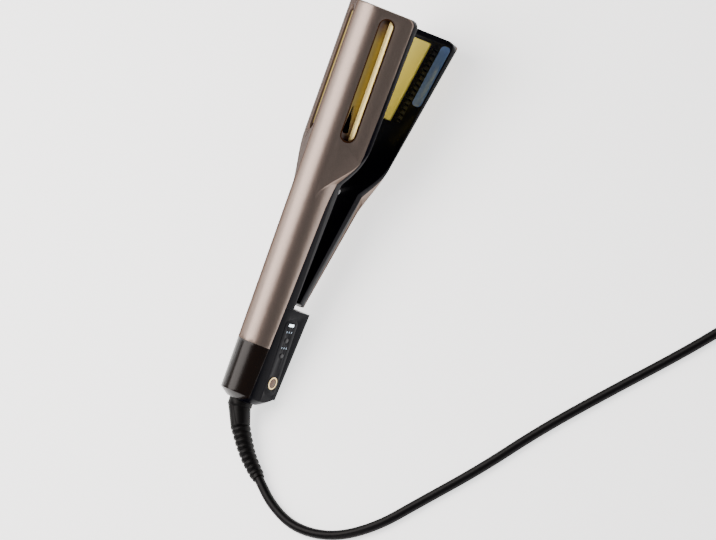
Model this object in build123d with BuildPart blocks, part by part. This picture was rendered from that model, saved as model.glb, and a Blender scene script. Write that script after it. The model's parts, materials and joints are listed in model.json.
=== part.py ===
"""Hair straightener: two ridged arms on a wedge-shaped base, heated plates, combs and a swivelling cord.

Every piece is drawn in the closed frame: x runs from the back of the base to the tip, y runs across,
and the plates meet at z = 0. The pieces are then turned to the pose in which the straightener lies
open on a table, and moved so that the middle of its underside is the origin.
"""

import os
from math import asin, atan2, cos, degrees, hypot, pi, radians, sin, tan

from build123d import *

os.makedirs("parts", exist_ok=True)

# Pose at rest
open_angle = 12.2
rest_flat = 0.35

# Arms
tip_x = 279.5
shell_start = 33.0
ridge_slope = 2.45
ridge_radius = 16.0
ridge_top = 15.6
handle_half = 16.4
wall = 2.0
face_gap = 2.0

# Head
head_half = 29.3
wing_radius = 4.5
wing_height = 0.6
neck_start = 138.0
neck_end = 188.0
tip_corner = 6.0
parting_handle = 8.3
parting_neck = 4.0
parting_tip = 6.2

# Base
base_end = 63.5
base_back = -7.5
base_depth = 18.3
base_corner = 3.0
end_flat = 10.5
end_rim = 20.5
end_crown = 0.4

# Hinge
pivot_x = 60.0
pin_diameter = 4.0
pin_play = 0.05
knuckle_radius = 6.0
knuckle_inner = 5.0
knuckle_outer = 9.0
boss_radius = 4.5
hinge_gap = 0.3
pocket_play = 1.0
bush_wall = 1.0
lower_start = 70.0
spring_wire = 1.2
spring_play = 0.5
spring_turns = 3.5
spring_pitch = 1.5
spring_leg = 7.0
knuckle_root = 7.0

# Plates
plate_start = 212.0
plate_end = 273.0
plate_width = 22.0
plate_thickness = 3.0
plate_proud = 0.9
plate_play = 0.35
plate_travel = 0.5
heater_width = 18.0
heater_inset = 4.0
heater_thickness = 2.4
pad_thickness = 0.8
carrier_wall = 1.2

# Combs and side panels
comb_line = 17.3
tooth_count = 15
tooth_pitch = 3.86
tooth_height = 5.2
tooth_width = 1.9
tooth_sides = 6
comb_start = 215.0
comb_bar = 3.4
comb_seat = 1.2
groove_width = 4.6

# Screws that hold each casing to its shell
screw_x = (92.0, 152.0)
screw_diameter = 2.2
screw_head = 4.4
screw_length = 7.0
boss_outer = 5.6

# Side panels beside the combs
panel_start = 228.0
panel_end = 275.0
panel_inner = 19.9
panel_outer = 27.3
panel_thickness = 1.2
panel_corner = 3.0

# Wiring
loom_y = 5.0
loom_z = 9.5
loom_diameter = 2.6

# Vents
vent_middle = 229.5
vent_length = 90.0
vent_width = 11.5
vent_down = 6.0
liner_wall = 1.0
liner_depth = 5.5
liner_lip = 1.5
liner_fold = 0.4
liner_floor = 0.6
liner_play = 0.1

# Controls on the side of the base
fascia_start = 2.0
fascia_end = 57.0
fascia_width = 13.0
fascia_thickness = 1.0
control_height = -3.4
control_rise = 4.3
power_x = 11.0
power_diameter = 6.4
bezel_diameter = 9.0
button_travel = 0.6
button_play = 0.25
small_diameter = 3.4
small_x = (31.0, 42.0)
light_x = 53.0
light_length = 1.9
light_width = 5.6
lamp_x = (36.5, 48.0)
lamp_pitch = 2.6
lamp_count = 3
lamp_length = 1.5
lamp_width = 0.7
board_thickness = 1.6
board_middle = 31.0
board_length = 46.0
board_width = 11.0

# Cord
cord_diameter = 6.8
relief_wide = 17.0
relief_narrow = 10.0
relief_collar = 4.0
relief_plain = 0.32
rib_count = 9
rib_depth = 0.7
swivel_diameter = 13.0
swivel_play = 0.08
drum_radius = 4.4
drum_length = 12.0
ring_rise = 0.9
brush_gap = 0.2
block_start = -1.5
block_length = 9.4
block_width = 12.0
coil_radius = 46.8
coil_arcs = 5
coil_gap = 0.45
coil_step = 3.65
climb_start = 110.0
climb_turn = 180.0
tie_width = 12.0
tie_thickness = 0.9
tail_length = 26.0
plug_boot = 14.0
plug_length = 36.0
plug_width = 25.0
plug_play = 0.05
pin_length = 17.0
pin_spacing = 12.7
pin_width = 6.3
pin_thickness = 1.5

# Route of the lead over the table from the strain relief to its coil, chosen by hand
relief_route = ((-159.8, -8.5, 10.9), (-175.6, -23.5, 7.6), (-185.7, -37.4, 5.4))
lead_route = (
    (-185.7, -37.4, 5.4), (-199.2, -57.2, 3.8), (-207.0, -83.3, 3.4), (-201.6, -115.2, 3.4),
    (-182.3, -142.9, 3.4), (-156.7, -163.8, 3.4), (-117.7, -196.6, 3.4), (-78.8, -224.0, 3.4),
    (-36.8, -259.0, 3.4), (11.2, -301.1, 3.4), (46.4, -328.0, 3.4), (76.8, -356.5, 3.4),
)
exit_z = -2.0

slope = radians(ridge_slope)
along_ridge = (cos(slope), 0, sin(slope))
face_z = face_gap / 2
box_size = 400.0
sides = (-1, 1)
standing = (Align.CENTER, Align.CENTER, Align.MIN)
ahead = (Align.MIN, Align.CENTER, Align.CENTER)


def ridge_z(x):
    """Height of the ridge circle's middle over the closing plane."""
    return ridge_top - ridge_radius + x * tan(slope)


def wing_z(x):
    """Height of the middle of the wing's rounded edge."""
    return wing_height + (x - neck_end) * tan(slope)


def handle_section(x, inset):
    """Barrel section of the handle: a round ridge on straight sides, carried down past the faces."""
    with BuildSketch(Plane.YZ.offset(x)) as section:
        with Locations((0, ridge_z(x))):
            Circle(ridge_radius - inset)
        with Locations((0, ridge_z(x) - ridge_radius)):
            Rectangle(2 * (handle_half - inset), 2 * ridge_radius)
        make_hull()
    return section.sketch


def head_section(x, inset):
    """Head section: the same ridge, with flat flanks down to rounded wing edges."""
    reach = head_half - wing_radius
    with BuildSketch(Plane.YZ.offset(x)) as section:
        with Locations((0, ridge_z(x))):
            Circle(ridge_radius - inset)
        for side in sides:
            with Locations((side * reach, wing_z(x)), (side * (reach - 1), -box_size / 8)):
                Circle(wing_radius - inset)
        make_hull()
    return section.sketch


def head_plan(inset):
    """Head seen from above: a wide blade that narrows in an S to the handle."""
    half = head_half - inset
    end = tip_x - inset
    corner = tip_corner - inset
    start = ridge_radius * 0.62
    with BuildSketch(Plane.XY.offset(-wing_radius)) as plan:
        with BuildLine():
            Spline((neck_start, start), (neck_end, half), tangents=((1, 0.12), (1, 0)))
            Line((neck_end, half), (end - corner, half))
            RadiusArc((end - corner, half), (end, half - corner), corner)
            Line((end, half - corner), (end, 0))
            Line((end, 0), (neck_start, 0))
            Line((neck_start, 0), (neck_start, start))
        make_face()
        mirror(about=Plane.XZ)
    return plan.sketch


def arm_form(start, inset=0.0):
    """Solid arm above the closing plane, shrunk by inset where it is used to hollow a shell."""
    end = tip_x - inset
    with BuildPart() as form:
        extrude(handle_section(start, inset), (end - start) / cos(slope), dir=along_ridge)
        with BuildPart(mode=Mode.PRIVATE) as head:
            head_length = (tip_x + 1 - neck_start) / cos(slope)
            extrude(head_section(neck_start - 1, inset), head_length, dir=along_ridge)
            extrude(head_plan(inset), ridge_radius * 3, mode=Mode.INTERSECT)
        add(head.part)
        split(bisect_by=Plane.XY.offset(face_z + inset), keep=Keep.TOP)
    return form.part


def parting_below():
    """Everything under the line where the outer shell meets the inner casing."""
    deep = -box_size / 8
    back = (base_back - 5, parting_handle)
    drop_start = (neck_start - 4, parting_handle)
    drop_end = (neck_end - 4, parting_neck)
    front = (tip_x + 5, parting_tip)
    with BuildPart() as cutter:
        with BuildSketch(Plane.XZ):
            with BuildLine():
                Line(back, drop_start)
                Spline(drop_start, drop_end, tangents=((1, 0), (1, 0.04)))
                Line(drop_end, front)
                Polyline(front, (tip_x + 5, deep), (base_back - 5, deep), back)
            make_face()
        extrude(amount=head_half + 5, both=True)
    return cutter.part


def flank_plane(side):
    """Plane on the sloping flank of the head at the middle of the vent, its x along the ridge."""
    reach = head_half - wing_radius
    drop = ridge_z(vent_middle) - wing_z(vent_middle)
    lean = atan2(drop, reach) + asin((ridge_radius - wing_radius) / hypot(reach, drop))
    along_y = ridge_radius * sin(pi / 2 - lean) + vent_down * sin(lean)
    along_z = ridge_z(vent_middle) + ridge_radius * cos(pi / 2 - lean) - vent_down * cos(lean)
    normal = Vector(0, side * cos(lean), sin(lean))
    tilt = Vector(*along_ridge)
    normal = (normal - tilt * normal.dot(tilt)).normalized()
    return Plane(origin=(vent_middle, side * along_y, along_z), x_dir=along_ridge, z_dir=normal)


below = parting_below()

# The floor touches the back edge of the base and the ridge at the tip of the lower arm
cone_rise = (end_rim - end_flat) / -base_back
heel_x = (base_depth + exit_z - end_flat + cone_rise * base_back) / (cone_rise - tan(slope))
heel = Vector(heel_x, 0, -base_depth - heel_x * tan(slope))
hinge = Vector(pivot_x, 0, 0)
opening = Location(hinge) * Location((0, 0, 0), (0, open_angle, 0)) * Location(-hinge)
toe = (opening * Location((tip_x, 0, -ridge_top - tip_x * tan(slope)))).position
tilt = degrees(atan2(heel.Z - toe.Z, toe.X - heel.X))
up = Vector(sin(radians(tilt)), 0, cos(radians(tilt)))
floor_plane = Plane(origin=heel + up * rest_flat, z_dir=up)
floor_of_lower = Plane(opening.inverse() * floor_plane.location)
window = (plate_end - plate_start + 2 * plate_play, plate_width + 2 * plate_play)
plate_middle = (plate_start + plate_end) / 2
floor_z = face_z + wall
deck_z = face_z - plate_proud + plate_thickness + heater_thickness + pad_thickness + plate_travel + 0.3


def outer_shell(start):
    """Ridged outer shell, open towards the plates, with a vent slot in each flank."""
    with BuildPart() as shell:
        add(arm_form(start))
        add(arm_form(start - 1, wall), mode=Mode.SUBTRACT)
        add(below, mode=Mode.SUBTRACT)
        for side in sides:
            with BuildSketch(flank_plane(side)):
                SlotOverall(vent_length, vent_width)
            extrude(amount=2 * wall, both=True, mode=Mode.SUBTRACT)
    return shell.part


def inner_casing(start):
    """Inner casing under the shell: side walls, the face round the plate and the plate's window."""
    with BuildPart() as casing:
        add(arm_form(start))
        add(arm_form(start - 1, wall), mode=Mode.SUBTRACT)
        add(below, mode=Mode.INTERSECT)
        with BuildSketch(Plane.XY.offset(face_z - 1)):
            with Locations((plate_middle, 0)):
                Rectangle(*window)
        extrude(amount=wall + 2, mode=Mode.SUBTRACT)
    return casing.part


def vent_liner():
    """Gilded liner of a vent: a folded trough behind the slot, with a drop-shaped outlet at its low end."""
    with BuildPart() as liner:
        for side in sides:
            face = flank_plane(side)
            with BuildPart(mode=Mode.PRIVATE) as trough:
                with BuildSketch(face.offset(-liner_depth)):
                    SlotOverall(vent_length - 2 * liner_play, vent_width - 2 * liner_play)
                extrude(amount=liner_depth - 0.3)
                with BuildSketch(face.offset(-wall - 1 - liner_play)):
                    SlotOverall(vent_length + 2 * liner_lip, vent_width + 2 * liner_lip)
                extrude(amount=1)
            with BuildPart(mode=Mode.PRIVATE) as hollow:
                with BuildSketch(face.offset(-liner_depth)):
                    SlotOverall(vent_length - 2 * liner_wall, vent_width - 2 * liner_wall)
                extrude(amount=liner_depth + 1)
                half = vent_width / 2
                fold = Plane(origin=face.origin, x_dir=face.y_dir * -side, z_dir=face.x_dir * -side)
                with BuildSketch(fold, mode=Mode.PRIVATE) as groove:
                    fold_line = (-half * liner_fold, liner_floor - liner_depth)
                    Polygon((-half, 1), (-half, -1.5), fold_line, (half, -1.2), (half, 1), align=None)
                extrude(groove.sketch, vent_length, both=True, mode=Mode.INTERSECT)
            with BuildPart(mode=Mode.PRIVATE) as outlet:
                with BuildSketch(face.offset(-liner_depth - 1)):
                    with Locations((-vent_length * 0.41, -side * half * 0.36)):
                        Circle(half * 0.44)
                    with Locations((-vent_length * 0.22, -side * half * 0.5)):
                        Circle(0.35)
                    make_hull()
                extrude(amount=liner_depth + 2)
            add(trough.part.cut(hollow.part).cut(outlet.part))
    return liner.part


def heated_plate():
    """Heated plate with rolled edges."""
    with BuildPart() as plate:
        with BuildSketch(Plane.XY.offset(face_z - plate_proud)):
            with Locations((plate_middle, 0)):
                RectangleRounded(plate_end - plate_start, plate_width, 1.2)
        extrude(amount=plate_thickness)
        chamfer(plate.faces().sort_by(Axis.Z)[0].edges(), 0.5)
    return plate.part


def heater():
    """Ceramic heater bonded to the back of the plate."""
    with BuildPart() as element:
        with Locations((plate_middle, 0, face_z - plate_proud + plate_thickness)):
            Box(plate_end - plate_start - 2 * heater_inset, heater_width, heater_thickness, align=standing)
    return element.part


def float_pads():
    """Two silicone pads on the heater, on which the plate floats."""
    with BuildPart() as pads:
        with BuildSketch(Plane.XY.offset(face_z - plate_proud + plate_thickness + heater_thickness)):
            with GridLocations(plate_end - plate_start - 24, 0, 2, 1):
                with Locations((plate_middle, 0)):
                    SlotOverall(14, 8)
        extrude(amount=pad_thickness)
    return pads.part


def plate_carrier():
    """Heat-resistant tray that stands on the casing round the window and carries the plate."""
    length = plate_end - plate_start - 2
    inner = plate_width / 2 + plate_play + 0.25
    with BuildPart() as tray:
        with Locations((plate_middle, 0, floor_z)):
            Box(length, 2 * (inner + carrier_wall), deck_z - floor_z + carrier_wall, align=standing)
            Box(length + 2, 2 * inner, deck_z - floor_z, align=standing, mode=Mode.SUBTRACT)
        with BuildSketch(Plane.XY.offset(deck_z)):
            with Locations((plate_middle, 0)):
                with GridLocations(length / 4, 0, 3, 1):
                    SlotOverall(12, 6)
        extrude(amount=carrier_wall + 1, mode=Mode.SUBTRACT)
    return tray.part


def base_form(inset=0.0):
    """Solid base: the ridge above, straight sides and a flat underside below, a blunt crowned end."""
    length = (base_end - base_back) / cos(slope)
    floor = ridge_radius - inset
    back = base_back + inset
    high = box_size / 8
    with BuildPart() as form:
        with BuildPart(mode=Mode.PRIVATE) as upper:
            extrude(handle_section(base_back, inset), length, dir=along_ridge)
            split(bisect_by=Plane.XY, keep=Keep.TOP)
        add(upper.part)
        with BuildPart(mode=Mode.PRIVATE) as lower:
            depth = base_depth + base_back * tan(slope) - inset
            with BuildSketch(Plane.YZ.offset(base_back)) as section:
                with Locations((0, -depth)):
                    Rectangle(2 * (handle_half - inset), depth + floor, align=(Align.CENTER, Align.MIN))
                fillet(section.vertices().group_by(Axis.Y)[0], base_corner - inset)
            extrude(amount=length, dir=(cos(slope), 0, -sin(slope)))
            split(bisect_by=Plane.XY, keep=Keep.BOTTOM)
        add(lower.part)
        with BuildSketch(Plane.XZ):
            with BuildLine():
                Polyline(
                    (0, exit_z + end_rim), (0, high), (base_end, high), (base_end, exit_z), (back, exit_z),
                    (back, exit_z + end_flat),
                )
                SagittaArc((back, exit_z + end_flat), (0, exit_z + end_rim), end_crown)
            make_face()
        revolve(axis=Axis((0, 0, exit_z), (1, 0, 0)), mode=Mode.INTERSECT)
    return form.part


def control_plane(x):
    """Plane on the control side of the base, its own x along the line of controls."""
    rise = radians(control_rise)
    height = control_height - (light_x - x) * tan(rise)
    return Plane(origin=(x, -handle_half, height), x_dir=(cos(rise), 0, sin(rise)), z_dir=(0, -1, 0))


fascia_middle = (fascia_start + fascia_end) / 2
fascia_length = fascia_end - fascia_start
board_face = handle_half - wall - 3.2

pieces = {}

with BuildPart() as upper_shell:
    add(outer_shell(shell_start))
    for x in screw_x:
        with BuildSketch(Plane.XY.offset(floor_z)):
            with Locations((x, 0)):
                Circle(boss_outer / 2)
        extrude(amount=ridge_z(x) + ridge_radius - wall / 2 - floor_z)
        with BuildSketch(Plane.XY.offset(floor_z)):
            with Locations((x, 0)):
                Circle(screw_diameter / 2)
        extrude(amount=screw_length, mode=Mode.SUBTRACT)
pieces["upper_shell"] = ("main", upper_shell)

with BuildPart() as upper_inner_casing:
    add(inner_casing(base_end))
    with Locations((base_end, 0, face_z)):
        Box(
            lower_start + pocket_play - base_end, 2 * (knuckle_outer + pocket_play), wall,
            align=(Align.MIN, Align.CENTER, Align.MIN), mode=Mode.SUBTRACT,
        )
    groove_length = (tooth_count - 1) * tooth_pitch + tooth_width + 2
    groove_middle = comb_start + (tooth_count - 1) * tooth_pitch / 2
    comb_length = groove_length - 1
    groove_top = tooth_height - face_z + 0.5
    for side in sides:
        with Locations((groove_middle, side * comb_line, face_z)):
            Box(groove_length + 2, groove_width + 2, groove_top - face_z + 1, align=standing)
            Box(groove_length, groove_width, groove_top - face_z, align=standing, mode=Mode.SUBTRACT)
    for x in screw_x:
        with Locations(Plane(origin=(x, 0, face_z), z_dir=(0, 0, -1))):
            CounterSinkHole(screw_diameter / 2, screw_head / 2, wall + 1, counter_sink_angle=90)
pieces["upper_inner_casing"] = ("main", upper_inner_casing)

with BuildPart() as base_housing:
    add(base_form())
    add(base_form(wall), mode=Mode.SUBTRACT)
    with BuildSketch(Plane.YZ.offset(base_end)):
        with Locations((0, -knuckle_radius - 4.5)):
            Rectangle(2 * handle_half - wall, base_depth * 2, align=(Align.CENTER, Align.MAX))
    extrude(amount=-wall)
    for side in sides:
        with BuildSketch(Plane.XZ.offset(side * (knuckle_outer + hinge_gap))):
            with Locations((pivot_x, 0)):
                Circle(boss_radius)
        extrude(amount=side * (handle_half - wall - knuckle_outer - hinge_gap))
    add(base_form(), mode=Mode.INTERSECT)
    add(below, mode=Mode.INTERSECT)
    with BuildSketch(Plane.XZ):
        with Locations((pivot_x, 0)):
            Circle(pin_diameter / 2)
    extrude(amount=handle_half - 0.6, both=True, mode=Mode.SUBTRACT)
    with BuildSketch(Plane.YZ.offset(base_back - 1)):
        with Locations((0, exit_z)):
            Circle(swivel_diameter / 2 + 1.2)
    extrude(amount=wall + 2, mode=Mode.SUBTRACT)
    control = control_plane(fascia_middle)
    with BuildSketch(control.offset(-fascia_thickness)):
        RectangleRounded(fascia_length, fascia_width, 4)
    extrude(amount=fascia_thickness + 1, mode=Mode.SUBTRACT)
    with BuildSketch(control_plane(power_x)):
        Circle(power_diameter / 2 + button_play)
    extrude(amount=-wall - 1, mode=Mode.SUBTRACT)
    for x in small_x:
        with BuildSketch(control_plane(x)):
            Circle(small_diameter / 2 + button_play)
        extrude(amount=-wall - 1, mode=Mode.SUBTRACT)
    with BuildSketch(control_plane(light_x)):
        Rectangle(light_length, light_width)
    extrude(amount=-wall - 1, mode=Mode.SUBTRACT)
    for x in (power_x + 8, light_x - 5.5):
        with BuildSketch(control_plane(x).offset(-wall)):
            Circle(2)
        extrude(amount=board_face - handle_half + wall)
    split(bisect_by=floor_plane, keep=Keep.TOP)
pieces["base_housing"] = ("main", base_housing)

with BuildPart() as end_cap:
    add(base_form())
    add(base_form(wall), mode=Mode.SUBTRACT)
    add(below, mode=Mode.SUBTRACT)
    with Locations((shell_start, 0, 0)):
        Box(box_size, box_size, box_size, align=ahead, mode=Mode.SUBTRACT)
pieces["end_cap"] = ("main", end_cap)


def keep(name, body, piece):
    """Note a finished piece under its name with the body that carries it."""
    pieces[name] = (body, piece)


def at_control(x, radius, outer, inner):
    """Round rod square to the control side, from outer to inner depth below its surface."""
    with BuildPart() as rod:
        with BuildSketch(control_plane(x).offset(-outer)):
            Circle(radius)
        extrude(amount=outer - inner)
    return rod.part


with BuildPart() as control_fascia:
    with BuildSketch(control.offset(-fascia_thickness)):
        RectangleRounded(fascia_length, fascia_width, 4)
    extrude(amount=fascia_thickness)
    add(at_control(power_x, bezel_diameter / 2, -1, fascia_thickness + 1), mode=Mode.SUBTRACT)
    for x in small_x:
        add(at_control(x, small_diameter / 2 + button_play, -1, fascia_thickness + 1), mode=Mode.SUBTRACT)
    with BuildSketch(control_plane(light_x).offset(1)):
        Rectangle(light_length, light_width)
    extrude(amount=-fascia_thickness - 2, mode=Mode.SUBTRACT)
    for x in lamp_x:
        with BuildSketch(control_plane(x).offset(1)):
            with GridLocations(0, lamp_pitch, 1, lamp_count):
                SlotOverall(lamp_length, lamp_width)
        extrude(amount=-fascia_thickness - 2, mode=Mode.SUBTRACT)
keep("control_fascia", "main", control_fascia)

with BuildPart() as indicator_lamps:
    for x in lamp_x:
        with BuildSketch(control_plane(x).offset(-fascia_thickness)):
            with GridLocations(0, lamp_pitch, 1, lamp_count):
                SlotOverall(lamp_length, lamp_width)
        extrude(amount=fascia_thickness)
keep("indicator_lamps", "main", indicator_lamps)

with BuildPart() as status_light:
    with BuildSketch(control_plane(light_x)):
        Rectangle(light_length, light_width)
    extrude(amount=board_face - handle_half)
keep("status_light", "main", status_light)

with BuildPart() as power_bezel:
    add(at_control(power_x, bezel_diameter / 2, -0.4, fascia_thickness))
    add(at_control(power_x, power_diameter / 2 + button_play, -1, wall), mode=Mode.SUBTRACT)
keep("power_bezel", "main", power_bezel)

with BuildPart() as power_button:
    add(at_control(power_x, power_diameter / 2, -0.2, wall + 0.5))
    add(at_control(power_x, power_diameter / 2 + 1.2, wall + button_play, wall + 1.0))
keep("power_button", "power", power_button)

for name, x in zip(("cooler_button", "hotter_button"), small_x):
    with BuildPart() as small_button:
        add(at_control(x, small_diameter / 2, -0.3, wall + 0.5))
        add(at_control(x, small_diameter / 2 + 1.2, wall + button_play, wall + 1.0))
    keep(name, name.split("_")[0], small_button)

with BuildPart() as circuit_board:
    with BuildSketch(control_plane(board_middle).offset(board_face - handle_half)):
        Rectangle(board_length, board_width)
    extrude(amount=-board_thickness)
keep("circuit_board", "main", circuit_board)

with BuildPart() as tact_switches:
    for x in (power_x, *small_x):
        with BuildSketch(control_plane(x).offset(board_face - handle_half)):
            Rectangle(4.5, 4.5)
        extrude(amount=handle_half - board_face - wall - 1.0 - button_travel - 0.3)
keep("tact_switches", "main", tact_switches)

with BuildPart() as hinge_pin:
    with BuildSketch(Plane.XZ):
        with Locations((pivot_x, 0)):
            Circle(pin_diameter / 2)
    extrude(amount=handle_half - 0.6, both=True)
    chamfer(hinge_pin.edges().filter_by(GeomType.CIRCLE), 0.3)
keep("hinge_pin", "main", hinge_pin)

with BuildPart() as opening_spring:
    spring_radius = pin_diameter / 2 + spring_play + spring_wire / 2
    spring_height = spring_turns * spring_pitch
    with BuildLine():
        turns = Helix(
            spring_pitch, spring_height, spring_radius,
            center=(pivot_x, spring_height / 2, 0), direction=(0, -1, 0), lefthand=True,
        )
    with BuildSketch(Plane(origin=turns @ 0, z_dir=turns % 0)):
        Circle(spring_wire / 2)
    sweep(path=turns, is_frenet=True)
    for end in (0, 1):
        with BuildSketch(Plane(origin=turns @ end, z_dir=(1, 0, 0))):
            Circle(spring_wire / 2)
        extrude(amount=spring_leg)
keep("opening_spring", "main", opening_spring)


def turned_over(piece):
    """The same piece on the lower arm."""
    return piece.mirror(Plane.XY)


with BuildPart() as lower_shell:
    add(turned_over(outer_shell(lower_start)))
    for x in screw_x:
        with BuildSketch(Plane.XY.offset(-floor_z)):
            with Locations((x, 0)):
                Circle(boss_outer / 2)
        extrude(amount=floor_z - ridge_z(x) - ridge_radius + wall / 2)
        with BuildSketch(Plane.XY.offset(-floor_z)):
            with Locations((x, 0)):
                Circle(screw_diameter / 2)
        extrude(amount=-screw_length, mode=Mode.SUBTRACT)
    split(bisect_by=floor_of_lower, keep=Keep.TOP)
keep("lower_shell", "lower", lower_shell)

with BuildPart() as lower_inner_casing:
    add(turned_over(inner_casing(lower_start)))
    with BuildPart(mode=Mode.PRIVATE) as bulkhead:
        add(arm_form(lower_start, wall))
        with Locations((lower_start + wall, 0, 0)):
            Box(box_size, box_size, box_size, align=ahead, mode=Mode.SUBTRACT)
        with Locations((lower_start, loom_y, loom_z)):
            Cylinder(loom_diameter / 2 + 0.4, 3 * wall, rotation=(0, 90, 0), mode=Mode.SUBTRACT)
    add(turned_over(bulkhead.part))
    for side in sides:
        with BuildSketch(Plane.XZ.offset(side * knuckle_inner)):
            with Locations((pivot_x, 0)):
                Circle(knuckle_radius)
            with Locations((lower_start, -face_z)):
                Rectangle(2 * wall, knuckle_root, align=(Align.MIN, Align.MAX))
            make_hull()
        extrude(amount=side * (knuckle_outer - knuckle_inner))
    with BuildSketch(Plane.XZ):
        with Locations((pivot_x, 0)):
            Circle(pin_diameter / 2 + pin_play + bush_wall)
    extrude(amount=knuckle_outer + 1, both=True, mode=Mode.SUBTRACT)
    with BuildSketch(Plane.XY.offset(-face_z)):
        for side in sides:
            with Locations((groove_middle, side * comb_line)):
                Rectangle(comb_length, comb_bar)
    extrude(amount=-comb_seat, mode=Mode.SUBTRACT)
    with BuildSketch(Plane.XY.offset(-face_z)):
        for side in sides:
            with Locations(((panel_start + panel_end) / 2, side * (panel_inner + panel_outer) / 2)):
                RectangleRounded(panel_end - panel_start, panel_outer - panel_inner, panel_corner)
    extrude(amount=-panel_thickness, mode=Mode.SUBTRACT)
    for x in screw_x:
        with Locations(Plane(origin=(x, 0, -face_z), z_dir=(0, 0, 1))):
            CounterSinkHole(screw_diameter / 2, screw_head / 2, wall + 1, counter_sink_angle=90)
keep("lower_inner_casing", "lower", lower_inner_casing)

with BuildPart() as hinge_bushes:
    for side in sides:
        with BuildSketch(Plane.XZ.offset(side * knuckle_inner)):
            with Locations((pivot_x, 0)):
                Circle(pin_diameter / 2 + pin_play + bush_wall)
                Circle(pin_diameter / 2 + pin_play, mode=Mode.SUBTRACT)
        extrude(amount=side * (knuckle_outer - knuckle_inner))
keep("hinge_bushes", "lower", hinge_bushes)

with BuildPart() as combs:
    for side in sides:
        with BuildSketch(Plane.XY.offset(-face_z)):
            with Locations((groove_middle, side * comb_line)):
                Rectangle(comb_length, comb_bar)
        extrude(amount=-comb_seat)
        with BuildPart(mode=Mode.PRIVATE) as tooth:
            with BuildSketch(Plane.XY.offset(-face_z)):
                RegularPolygon(tooth_width / 2, tooth_sides)
            with BuildSketch(Plane.XY.offset(-face_z + tooth_height)):
                RegularPolygon(tooth_width / 5, tooth_sides)
            loft(ruled=True)
        for tooth_index in range(tooth_count):
            add(tooth.part.moved(Location((comb_start + tooth_index * tooth_pitch, side * comb_line, 0))))
keep("combs", "lower", combs)

with BuildPart() as side_panels:
    with BuildSketch(Plane.XY.offset(-face_z - panel_thickness)):
        for side in sides:
            with Locations(((panel_start + panel_end) / 2, side * (panel_inner + panel_outer) / 2)):
                RectangleRounded(panel_end - panel_start, panel_outer - panel_inner, panel_corner)
    extrude(amount=panel_thickness)
keep("side_panels", "lower", side_panels)


def screws():
    """Countersunk screws through the casing into the shell's bosses."""
    with BuildPart() as group:
        for x in screw_x:
            with Locations((x, 0, face_z)):
                Cone(screw_head / 2, screw_diameter / 2, (screw_head - screw_diameter) / 2, align=standing)
                Cylinder(screw_diameter / 2, wall + screw_length - 0.5, align=standing)
            with Locations((x, 0, face_z)):
                Box(screw_head * 0.7, 0.6, 1.0, mode=Mode.SUBTRACT)
                Box(0.6, screw_head * 0.7, 1.0, mode=Mode.SUBTRACT)
    return group.part


def wire_loom(start):
    """Insulated wires from the base along the arm to the back of the heater."""
    heater_back = plate_start + heater_inset
    heater_level = face_z - plate_proud + plate_thickness + heater_thickness / 2
    points = (
        (start, loom_y, loom_z), (heater_back - 22, loom_y, loom_z),
        (heater_back - 10, loom_y / 2, heater_level + 0.6), (heater_back, loom_y / 2, heater_level + 0.6),
    )
    with BuildPart() as loom:
        with BuildLine() as run:
            FilletPolyline(*points, radius=8)
        with BuildSketch(Plane(origin=points[0], z_dir=(1, 0, 0))):
            Circle(loom_diameter / 2)
        sweep(path=run.line)
    return loom.part


arm_pieces = {
    "vent_liners": vent_liner, "plate": heated_plate, "heater": heater, "float_pads": float_pads,
    "plate_carrier": plate_carrier, "casing_screws": screws,
}
for name, maker in arm_pieces.items():
    floats = name in ("plate", "heater", "float_pads")
    with BuildPart() as upper_piece:
        add(maker())
    keep("upper_" + name, "upper_plate" if floats else "main", upper_piece)
    with BuildPart() as lower_piece:
        add(turned_over(upper_piece.part))
    keep("lower_" + name, "lower_plate" if floats else "lower", lower_piece)

with BuildPart() as upper_wire_loom:
    add(wire_loom(board_middle))
keep("upper_wire_loom", "main", upper_wire_loom)
with BuildPart() as lower_wire_loom:
    add(turned_over(wire_loom(lower_start)))
keep("lower_wire_loom", "lower", lower_wire_loom)

# Swivel: the cord's drum turns in a bearing in the back wall, with sliding contacts on two rings
swivel_radius = swivel_diameter / 2
drum_seat = base_back + wall


def turned_ring(outer, inner, start, length):
    """Ring on the swivel's axis."""
    with BuildPart() as ring:
        with BuildSketch(Plane.YZ.offset(start)):
            with Locations((0, exit_z)):
                Circle(outer)
                if inner:
                    Circle(inner, mode=Mode.SUBTRACT)
        extrude(amount=length)
    return ring.part


with BuildPart() as swivel_bearing:
    add(turned_ring(swivel_radius + 1.2, swivel_radius + swivel_play, base_back, wall))
    add(turned_ring(swivel_radius + 3.0, swivel_radius + swivel_play, drum_seat, 1.2))
keep("swivel_bearing", "main", swivel_bearing)

ring_places = [drum_seat + 1.5 + wall + step for step in (2.0, 6.0)]
with BuildPart() as swivel_drum:
    add(turned_ring(swivel_radius, 0, base_back - 0.3, wall + 0.3 + 1.5))
    add(turned_ring(swivel_radius + 2.0, 0, drum_seat + 1.5, wall))
    add(turned_ring(drum_radius, 0, drum_seat + 1.5 + wall, drum_length))
keep("swivel_drum", "cord", swivel_drum)

with BuildPart() as contact_rings:
    for x in ring_places:
        add(turned_ring(drum_radius + ring_rise, drum_radius, x, 2.0))
keep("contact_rings", "cord", contact_rings)

block_top = exit_z - drum_radius - ring_rise - 3.0
with BuildPart() as contact_block:
    with Locations((ring_places[0] + block_start, 0, -base_depth)):
        Box(block_length, block_width, block_top + base_depth, align=(Align.MIN, Align.CENTER, Align.MIN))
    add(base_form(wall), mode=Mode.INTERSECT)
keep("contact_block", "main", contact_block)

with BuildPart() as contact_brushes:
    for x in ring_places:
        with Locations((x + 1, 0, block_top)):
            Box(1.6, 4, exit_z - drum_radius - ring_rise - brush_gap - block_top, align=standing)
keep("contact_brushes", "main", contact_brushes)

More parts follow.
